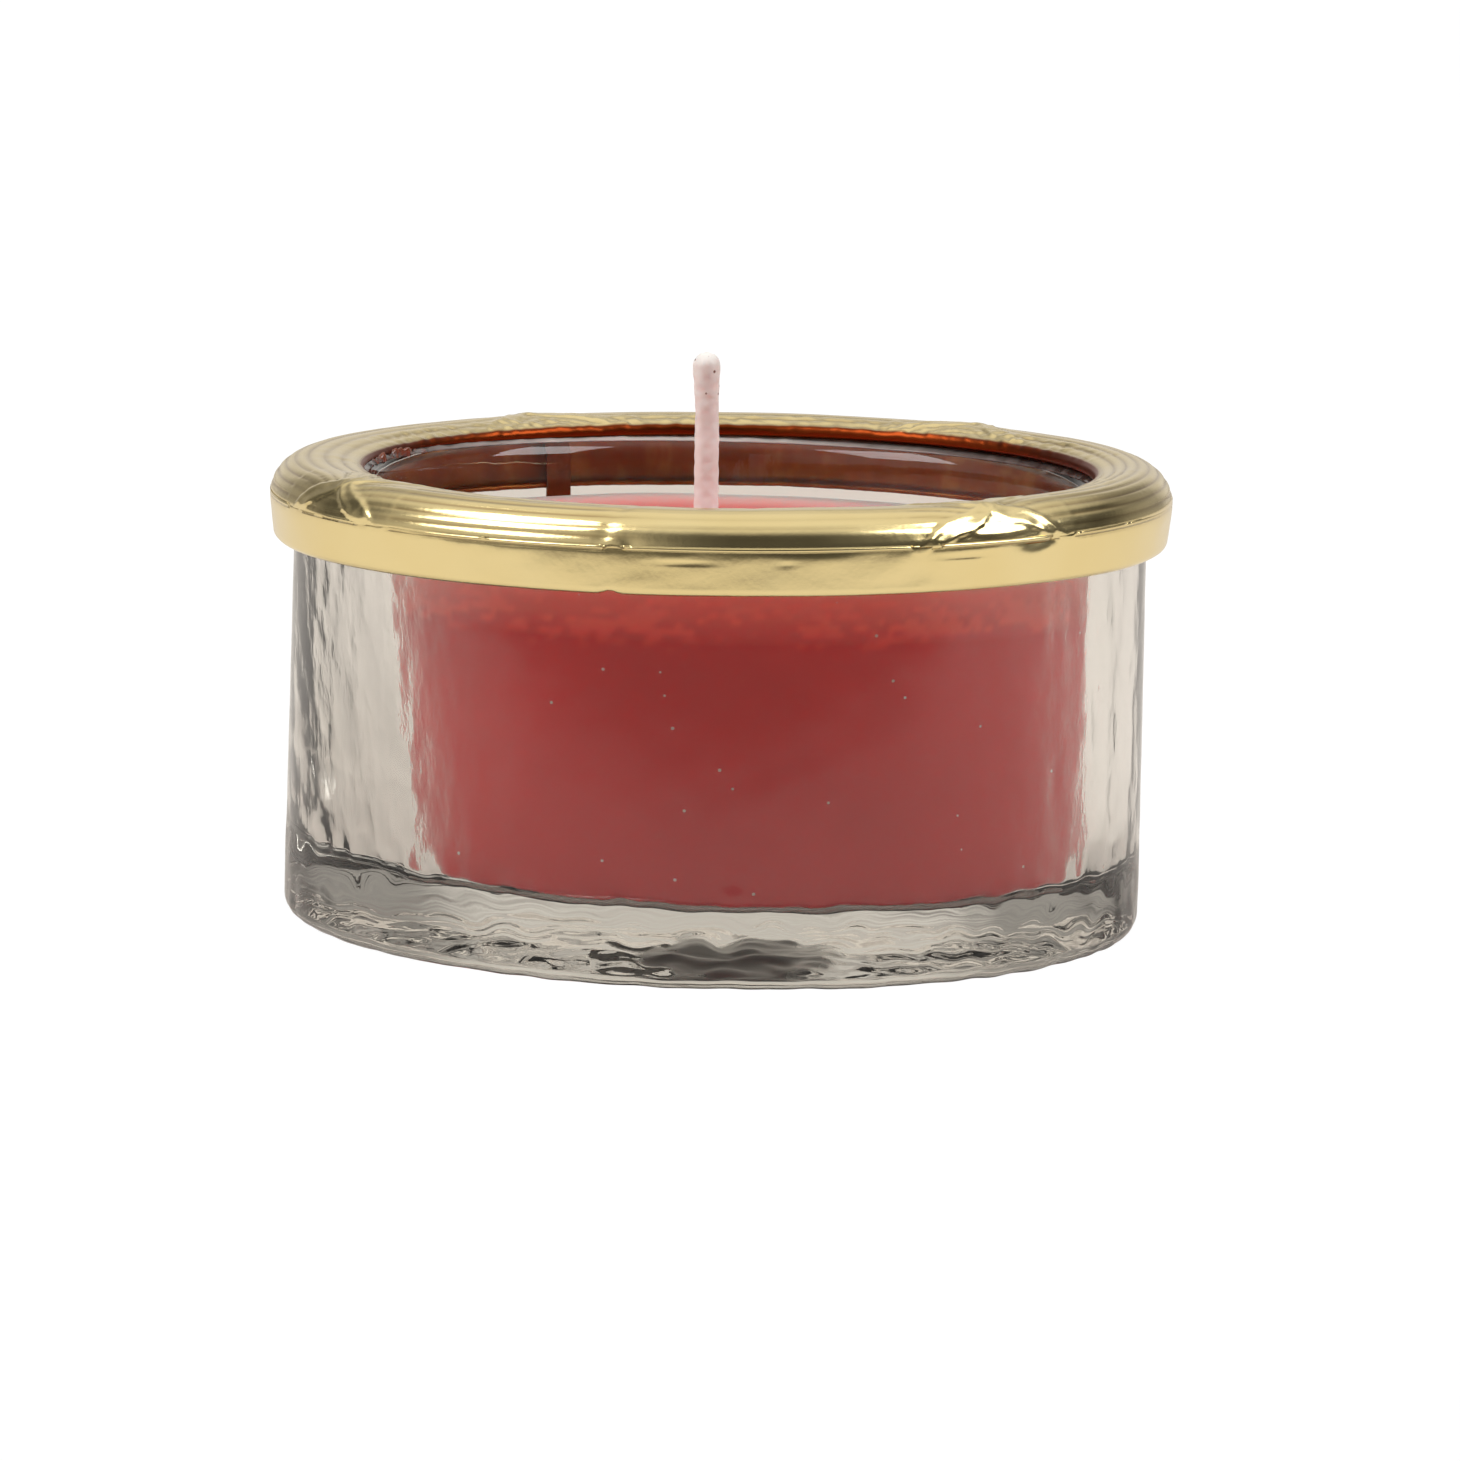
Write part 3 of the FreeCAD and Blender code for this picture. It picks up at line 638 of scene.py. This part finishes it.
def waxMaterial():
    # red paraffin, poured: light sinks in and glows back, a satin skin, painted shade darkening it towards the
    # floor, painted light paling it under the top, a brighter mottled band of painted light where the last pour
    # clung to the glass, and a painted reflection paling the top round the wall. Dust shows as pale specks.
    material, tree, shader = newMaterial("poured_red_paraffin")
    setShader(shader, roughness=0.38, ior=1.44, specular=0.12, subsurface=0.95, subsurfaceScale=13 * mm,
              subsurfaceRadius=(1.0, 0.28, 0.22))
    coords = addNode(tree, "ShaderNodeTexCoord")
    axes = addNode(tree, "ShaderNodeSeparateXYZ", [(0, coords.outputs["Object"])])
    cling = addNode(tree, "ShaderNodeAttribute", attribute_name="cling")
    upper = addNode(tree, "ShaderNodeAttribute", attribute_name="top")
    cloud = addNode(tree, "ShaderNodeTexNoise", [("Vector", coords.outputs["Object"]), ("Scale", 1 / (12 * mm)),
                                                 ("Detail", 4.0)])
    body = addNode(tree, "ShaderNodeValToRGB", [(0, cloud.outputs["Fac"])],
                   stops=[(0.3, "dc151e"), (0.7, "e61c25")]).outputs[0]
    mottle = addNode(tree, "ShaderNodeTexNoise", [("Vector", coords.outputs["Object"]),
                                                  ("Scale", 1 / (wax["mottleGrain"] * mm)),
                                                  ("Detail", 8.0), ("Roughness", 0.65)])
    # painted shade: the wax is darker towards the floor, away from the light that enters at the top
    depth = addNode(tree, "ShaderNodeMapRange", [(0, axes.outputs["Z"]), (1, (waxZ - wax["shadeDepth"]) * mm),
                                                 (2, floorZ * mm), (4, 0.22)])
    shadedLower = addNode(tree, "ShaderNodeMix", [(0, depth.outputs[0]), (6, body), (7, linear("a41a1e"))],
                   data_type="RGBA").outputs[2]
    # painted light: the cling band is brighter, standing in for the light that passes where wax touches glass with
    # no air gap
    clingPaintedBright = addNode(tree, "ShaderNodeMix", [(0, cling.outputs["Fac"]), (6, shadedLower), (7, linear("ff4a3c"))],
                      data_type="RGBA").outputs[2]
    # painted light: paler under the top, standing in for light that enters through the top and glows out under the
    # rim
    rising = addNode(tree, "ShaderNodeMapRange", [(0, axes.outputs["Z"]), (1, (waxZ - wax["glowDepth"]) * mm),
                                                  (2, waxZ * mm), (4, 0.95)])
    paintedTopGlow = addNode(tree, "ShaderNodeMix", [(0, rising.outputs[0]), (6, clingPaintedBright), (7, linear("ffb4aa"))],
                    data_type="RGBA").outputs[2]
    flat = addNode(tree, "ShaderNodeMapping", [("Vector", coords.outputs["Object"]), ("Scale", (1, 1, 0))])
    reach = addNode(tree, "ShaderNodeVectorMath", [(0, flat.outputs[0])], operation="LENGTH")
    sheenShare = addNode(tree, "ShaderNodeMapRange", [(0, reach.outputs["Value"]), (1, 23 * mm), (2, 33 * mm)])
    # painted reflection: the top is paler round the wall, standing in for the sheen of the bright backdrop at a
    # grazing view
    topTone = addNode(tree, "ShaderNodeMix", [(0, sheenShare.outputs[0]), (6, linear("d2706b")),
                                              (7, linear("e6b2ac"))], data_type="RGBA").outputs[2]
    bright = addNode(tree, "ShaderNodeMix", [(0, upper.outputs["Fac"]), (6, paintedTopGlow), (7, topTone)],
                     data_type="RGBA").outputs[2]
    dust = addNode(tree, "ShaderNodeTexVoronoi", [("Vector", coords.outputs["Object"]),
                                                  ("Scale", 1 / (wax["dustSpacing"] * mm))])
    speck = addNode(tree, "ShaderNodeMath", [(0, dust.outputs["Distance"]), (1, 0.05)], operation="LESS_THAN")
    colour = addNode(tree, "ShaderNodeMix", [(0, speck.outputs[0]), (6, bright), (7, linear("e6c9c3"))],
                     data_type="RGBA").outputs[2]
    tree.links.new(colour, shader.inputs["Base Color"])
    skin = addNode(tree, "ShaderNodeBump", [("Strength", 0.2), ("Distance", 0.2 * mm),
                                            ("Height", mottle.outputs["Fac"])])
    tree.links.new(skin.outputs[0], shader.inputs["Normal"])
    return material


# wick

wick = {
    "columns": 48,
    "rows": 220,
    "lean": 0.3,  # how far the free end leans to the left
    "braidTurns": 0.16,  # turns of a strand per millimetre
    "strands": 4,
    "relief": 0.03,
    "radius": 1.15,
    "pitsFrom": 4,  # pits show this far down from the end
}


def makeWick():
    # a tube whose radius swells at its end; the strands of the braid stand out where two sets of helices cross
    low, high = wickLow[2], wickHigh[2]
    body, bulb = wick["radius"], (wickHigh[0] - wickLow[0]) / 2
    t = np.linspace(0, 1, wick["rows"])
    z = high - (high - low) * (1 - t)
    drop = high - z
    cap = np.sqrt(np.clip(1 - ((bulb - drop) / bulb) ** 2, 0, 1))
    size = np.where(drop < bulb, bulb * cap, body + (bulb - body) * bump(drop, bulb, 2.0))
    size = np.where(t == 0, 0, size)
    turn = np.linspace(0, 2 * np.pi, wick["columns"], endpoint=False)
    zz = z[:, None] + 0 * turn
    n, pace = wick["strands"], wick["braidTurns"] * 2 * np.pi
    weave = np.maximum(np.cos(n * (turn + pace * zz)), np.cos(n * (turn - pace * zz)))
    spread = size[:, None] * (1 + 0 * turn)
    x, y = spread * np.cos(turn), spread * np.sin(turn)
    above = step(zz, waxZ - 2, high)
    lumps = 0.03 * waves(x, y, zz * 0.35, 1.6, 51) + 0.02 * above * waves(x, y, zz, 1.1, 52)
    soft = step(drop, 0, bulb)[:, None]
    spread = spread + soft * (wick["relief"] * weave * (1 - 0.5 * above) + lumps * (0.5 + above))
    spread = np.maximum(spread, 0)
    lean = 0.25 - wick["lean"] * step(zz, waxZ - 4, high) + 0.04 * np.sin(zz * 0.45) * above
    spread[0] = 0
    spread[-1] = 0
    return gridMesh("waxed_cotton_wick", wickX + lean + spread * np.cos(turn), spread * np.sin(turn), zz,
                    poles=True)


def wickMaterial():
    # braided cotton dipped in pale wax: satin, faintly pink from the pour, with a few dark pits near the end
    material, tree, shader = newMaterial("waxed_cotton_braid")
    setShader(shader, roughness=0.5, subsurface=0.12, subsurfaceScale=1.0 * mm,
              subsurfaceRadius=(1.0, 0.6, 0.5))
    coords = addNode(tree, "ShaderNodeTexCoord")
    cloud = addNode(tree, "ShaderNodeTexNoise", [("Vector", coords.outputs["Object"]),
                                                 ("Scale", 1 / (2.5 * mm)), ("Detail", 6.0)])
    body = addNode(tree, "ShaderNodeValToRGB", [(0, cloud.outputs["Fac"])],
                   stops=[(0.3, "ece6e0"), (0.7, "f8f5f2")]).outputs[0]
    pits = addNode(tree, "ShaderNodeTexVoronoi", [("Vector", coords.outputs["Object"]),
                                                  ("Scale", 1 / (1.1 * mm))])
    pit = addNode(tree, "ShaderNodeMath", [(0, pits.outputs["Distance"]), (1, 0.13)], operation="LESS_THAN")
    axes = addNode(tree, "ShaderNodeSeparateXYZ", [(0, coords.outputs["Object"])])
    high = addNode(tree, "ShaderNodeMath", [(0, axes.outputs["Z"]), (1, (wickHigh[2] - wick["pitsFrom"]) * mm)],
                   operation="GREATER_THAN")
    dark = addNode(tree, "ShaderNodeMath", [(0, pit.outputs[0]), (1, high.outputs[0])], operation="MULTIPLY")
    colour = addNode(tree, "ShaderNodeMix", [(0, dark.outputs[0]), (6, body), (7, linear("8d7066"))],
                     data_type="RGBA").outputs[2]
    tree.links.new(colour, shader.inputs["Base Color"])
    fuzz = addNode(tree, "ShaderNodeTexNoise", [("Vector", coords.outputs["Object"]), ("Scale", 1 / (0.5 * mm)),
                                                ("Detail", 4.0)])
    skin = addNode(tree, "ShaderNodeBump", [("Strength", 0.3), ("Distance", 0.1 * mm),
                                            ("Height", fuzz.outputs["Fac"])])
    tree.links.new(skin.outputs[0], shader.inputs["Normal"])
    return material


# adhesive film

adhesive = {
    "columns": 720,
    "film": 0.10,
    "filmPoints": 16,  # across the film
    "reachDown": 134,  # degrees round the lip, from its outer side, down to which the film ran
    "crumbsAt": -108,  # degrees from the front
    "crumbSpread": 10,
    "crumbHeight": 0.75,
    "lipGlowAt": -170,
}


def makeAdhesive():
    # a film over the inner half of the glass lip: an arc round the lip's own centre, thicker by waves, closed
    # underneath by a second arc just inside the glass, and joined to a bead under the crown
    c = adhesive
    centre = np.array([cavityRadius + cup["lipRound"], lipZ - cup["lipRound"]])
    angles = np.radians(np.linspace(c["reachDown"], 95, c["filmPoints"]))
    over = centre + (cup["lipRound"] + c["film"]) * np.stack([np.cos(angles), np.sin(angles)], 1)
    under = centre + (cup["lipRound"] - 0.05) * np.stack([np.cos(angles), np.sin(angles)], 1)
    # the bead's corners, from its inner side over the top and back along the glass
    bead = np.array([[centre[0] + 0.6, lipZ + 0.25], [centre[0] + 1.6, lipZ + 0.7],
                     [centre[0] + 3.2, lipZ + 0.7],
                     [centre[0] + 3.4, lipZ + 0.2], [centre[0] + 3.2, lipZ - 0.03],
                     [centre[0] + 1.0, lipZ - 0.03]])
    section = np.concatenate([over, bead, under[::-1]])
    r, z = section[:, 0:1], section[:, 1:2]
    nr, nz = pathNormals(section[:, 0], section[:, 1], closed=True)
    a = np.linspace(0, 2 * np.pi, c["columns"], endpoint=False)[None, :]
    x, y, zz = r * np.cos(a), r * np.sin(a), z + 0 * a
    skin = (np.arange(len(section)) < c["filmPoints"])[:, None] * 1.0
    gap = (a - turnFromFront(c["crumbsAt"]) + np.pi) % (2 * np.pi) - np.pi
    there = bump(gap, 0, math.radians(c["crumbSpread"])) * skin
    lumps = np.clip(waves(x, y, zz, 1.5, 61) + 0.6 * waves(x, y, zz, 0.8, 62), 0, 2)
    high = bump(np.arange(len(section))[:, None], 4, 4.5)
    move = skin * (0.035 * waves(x, y, zz, 3.0, 63) + 0.03 * waves(x, y, zz, 1.1, 64))
    move += c["crumbHeight"] * there * lumps * high
    weight = 1 - step(r, centre[0] + 0.5, centre[0] + 2.0)
    px = x - move * nr[:, None] * np.cos(a) + cavityShift * weight
    py = y - move * nr[:, None] * np.sin(a)
    pz = zz - move * nz[:, None]
    crumb = step(there, 0.2, 0.45) * step(lumps, 0.05, 0.25)
    # painted light: a pale share of the film at the back, standing in for the bright glass lip
    lipGlowMask = bump((a - turnFromFront(c["lipGlowAt"]) + np.pi) % (2 * np.pi) - np.pi, 0, 0.75) + 0 * x
    return gridMesh("squeezed_clear_adhesive", px[::-1], py[::-1], pz[::-1], closedRows=True,
                    values={"crumb": crumb[::-1], "paintedLipGlow": lipGlowMask[::-1]})


def adhesiveMaterial():
    # cured clear adhesive: glossy and wet-looking, painted pale at the back where it stands in for light coming
    # through the glass lip, burnt brown where it crumbled
    material, tree, shader = newMaterial("cured_clear_adhesive")
    setShader(shader, roughness=0.12, ior=1.47, subsurface=0.15, subsurfaceScale=0.6 * mm)
    coords = addNode(tree, "ShaderNodeTexCoord")
    crumb = addNode(tree, "ShaderNodeAttribute", attribute_name="crumb")
    paintedLipGlow = addNode(tree, "ShaderNodeAttribute", attribute_name="paintedLipGlow")
    cloud = addNode(tree, "ShaderNodeTexNoise", [("Vector", coords.outputs["Object"]),
                                                 ("Scale", 1 / (2.2 * mm)), ("Detail", 5.0)])
    part = addNode(tree, "ShaderNodeMath", [(0, cloud.outputs["Fac"]), (1, 0.5), (2, -0.26)],
                   operation="MULTIPLY_ADD")
    # painted light: the film pales towards the back
    share = addNode(tree, "ShaderNodeMath", [(0, paintedLipGlow.outputs["Fac"]), (1, part.outputs[0])], operation="ADD",
                    use_clamp=True)
    film = addNode(tree, "ShaderNodeMix", [(0, share.outputs[0]), (6, linear("43332f")),
                                           (7, linear("bdb5b0"))], data_type="RGBA").outputs[2]
    tree.links.new(addNode(tree, "ShaderNodeMix", [(0, crumb.outputs["Fac"]), (6, film),
                                                   (7, linear("7a4430"))], data_type="RGBA").outputs[2],
                   shader.inputs["Base Color"])
    skin = addNode(tree, "ShaderNodeBump", [("Strength", 0.3), ("Distance", 0.1 * mm),
                                            ("Height", cloud.outputs["Fac"])])
    tree.links.new(skin.outputs[0], shader.inputs["Normal"])
    return material


# the small CAD pieces that stay

def plainMaterial(name, first, second, size, **values):
    # two close tones in cloudy patches of the given size in millimetres, with a fine grain
    material, tree, shader = newMaterial(name)
    setShader(shader, **values)
    coords = addNode(tree, "ShaderNodeTexCoord")
    cloud = addNode(tree, "ShaderNodeTexNoise", [("Vector", coords.outputs["Object"]),
                                                 ("Scale", 1 / (size * mm)), ("Detail", 5.0)])
    tree.links.new(addNode(tree, "ShaderNodeValToRGB", [(0, cloud.outputs["Fac"])],
                           stops=[(0.35, first), (0.7, second)]).outputs[0], shader.inputs["Base Color"])
    skin = addNode(tree, "ShaderNodeBump", [("Strength", 0.2), ("Distance", 0.05 * mm),
                                            ("Height", cloud.outputs["Fac"])])
    tree.links.new(skin.outputs[0], shader.inputs["Normal"])
    return material


def dressNode(node, material):
    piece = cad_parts[node]
    piece.data.materials.clear()
    piece.data.materials.append(material)


# studio

studio = {
    "cameraDistance": 611.0,
    "elevation": 9.25,
    "targetHeight": 10.05,
    "lens": 158.3,
    "roll": 1.51,
    "aimUp": 0.69,
    "aimRight": 0.15,
    "floorColour": "dcd7d1",
    "paperWhite": 0.95,
    "paperGlow": 1.06,
    "floorSize": 6.0,  # half its width, in metres
    "tableEnd": (-0.25, -0.10),  # in metres, over which the table gives way to the dark room in front
    "roomInFront": 0.12,
    "room": 0.07,
    "cards": (((0, 1, 0.05), 0.84, 0.99, 0.62), ((0.6, 0.8, 0.05), 0.88, 0.996, 0.25),
              ((-0.6, 0.8, 0.05), 0.88, 0.996, 0.25), ((-0.85, -0.5, 0.15), 0.55, 0.95, 0.5),
              ((0, 0.2, 1), 0.46, 0.92, 0.8)),
    "softboxes": (("left_softbox", (-1.0, -0.4, 1.1), 0.9, 13), ("right_softbox", (1.1, -0.3, 0.9), 0.8, 11)),
}


def makeCamera():
    # looks from the front, a little down, and is turned about its own axes to frame the piece
    s = studio
    lift = math.radians(s["elevation"])
    target = Vector((0, 0, s["targetHeight"])) * mm
    back = Vector((0, -math.cos(lift), math.sin(lift)))
    camera = bpy.data.objects.new("camera", bpy.data.cameras.new("camera"))
    camera.data.lens = s["lens"]
    camera.data.sensor_width = 36
    place = Matrix.Translation(target + back * s["cameraDistance"] * mm)
    look = (-back).to_track_quat("-Z", "Y").to_matrix().to_4x4()
    turned = Matrix.Rotation(math.radians(s["roll"]), 4, "Z")
    turned = turned @ Matrix.Rotation(math.radians(s["aimUp"]), 4, "X")
    turned = turned @ Matrix.Rotation(math.radians(-s["aimRight"]), 4, "Y")
    camera.matrix_world = place @ look @ turned
    bpy.context.scene.collection.objects.link(camera)
    bpy.context.scene.camera = camera


def makeFloor():
    # a pale matt sweep that the camera itself sees as near-white paper, with only a breath of shadow
    size = studio["floorSize"]
    dark, lit = studio["tableEnd"]
    mesh = bpy.data.meshes.new("floor")
    mesh.from_pydata([(-size, -size, 0), (size, -size, 0), (size, size, 0), (-size, size, 0)], [],
                     [(0, 1, 2, 3)])
    floor = bpy.data.objects.new("floor", mesh)
    bpy.context.scene.collection.objects.link(floor)
    material = bpy.data.materials.new("pale_matt_paper")
    material.use_nodes = True
    tree = material.node_tree
    tree.nodes.clear()
    coords = addNode(tree, "ShaderNodeTexCoord")
    axes = addNode(tree, "ShaderNodeSeparateXYZ", [(0, coords.outputs["Object"])])
    near = addNode(tree, "ShaderNodeMapRange", [(0, axes.outputs["Y"]), (1, dark), (2, lit),
                                                (3, studio["roomInFront"]), (4, 1.0)],
                   interpolation_type="SMOOTHSTEP")
    tone = addNode(tree, "ShaderNodeMix", [(0, near.outputs[0]), (6, linear("000000")),
                                           (7, linear(studio["floorColour"]))], data_type="RGBA").outputs[2]
    paper = addNode(tree, "ShaderNodeBsdfDiffuse", [("Color", tone)])
    white = addNode(tree, "ShaderNodeEmission", [("Color", (1, 1, 1, 1)), ("Strength", studio["paperGlow"])])
    path = addNode(tree, "ShaderNodeLightPath")
    share = addNode(tree, "ShaderNodeMath", [(0, path.outputs["Is Camera Ray"]), (1, studio["paperWhite"])],
                    operation="MULTIPLY")
    both = addNode(tree, "ShaderNodeMixShader", [(0, share.outputs[0]), (1, paper.outputs[0]),
                                                 (2, white.outputs[0])])
    addNode(tree, "ShaderNodeOutputMaterial", [("Surface", both.outputs[0])])
    mesh.materials.append(material)


def makeDome():
    # soft warm light from all round: brightest overhead and behind, dim in front at eye level, where the room
    # is dark; the camera itself sees white
    world = bpy.data.worlds.new("studio_dome")
    bpy.context.scene.world = world
    world.use_nodes = True
    tree = world.node_tree
    tree.nodes.clear()
    coords = addNode(tree, "ShaderNodeTexCoord")
    total = studio["room"]
    # each card glows round its direction: direction, cosine at its rim and at its core, brightness
    for way, rimCosine, coreCosine, glow in studio["cards"]:
        facing = addNode(tree, "ShaderNodeVectorMath", [(0, coords.outputs["Generated"]),
                                                        (1, Vector(way).normalized())], operation="DOT_PRODUCT")
        card = addNode(tree, "ShaderNodeMapRange", [(0, facing.outputs["Value"]), (1, rimCosine),
                                                    (2, coreCosine),
                                                    (3, 0.0), (4, glow)], interpolation_type="SMOOTHSTEP")
        total = addNode(tree, "ShaderNodeMath", [(0, total), (1, card.outputs[0])], operation="ADD").outputs[0]
    soft = addNode(tree, "ShaderNodeBackground", [("Color", linear("fffaf5")), ("Strength", total)])
    white = addNode(tree, "ShaderNodeBackground", [("Color", (1, 1, 1, 1)), ("Strength", 1.0)])
    path = addNode(tree, "ShaderNodeLightPath")
    both = addNode(tree, "ShaderNodeMixShader", [(0, path.outputs["Is Camera Ray"]), (1, soft.outputs[0]),
                                                 (2, white.outputs[0])])
    addNode(tree, "ShaderNodeOutputWorld", [("Surface", both.outputs[0])])


def addLamp(name, place, size, power):
    # a square softbox at a place in metres, aimed at the piece
    lamp = bpy.data.lights.new(name, "AREA")
    lamp.shape = "SQUARE"
    lamp.size = size
    lamp.energy = power
    box = bpy.data.objects.new(name, lamp)
    box.location = place
    box.rotation_euler = (Vector((0, 0, 0.03)) - Vector(place)).to_track_quat("-Z", "Y").to_euler()
    bpy.context.scene.collection.objects.link(box)


# the scene

glass = glassMaterial()
brass = brassMaterial()
finishPiece(makeCup(), "glass_cup", glass)
finishPiece(makeRim(), "brass_rim", brass)
finishPiece(makeWax(), "wax_fill", waxMaterial())
finishPiece(makeWick(), "wick", wickMaterial())
finishPiece(makeAdhesive(), "rim_adhesive", adhesiveMaterial())
dressNode("rim_splice_plate", plainMaterial("heat_stained_brass", "6b3f24", "8a5a32", 1.5, metallic=1.0,
                                            roughness=0.45))
dressNode("wick_sustainer", plainMaterial("bright_tinplate", "b9bbbd", "cfd1d2", 2.0, metallic=1.0,
                                          roughness=0.3))
dressNode("wick_sticker", plainMaterial("wax_soaked_adhesive_dot", "5a513f", "8f846b", 1.6, roughness=0.5))
print("pieces dressed")

makeCamera()
makeFloor()
makeDome()
for softbox in studio["softboxes"]:
    addLamp(*softbox)
bpy.context.scene.view_settings.view_transform = "Standard"
print("studio ready")
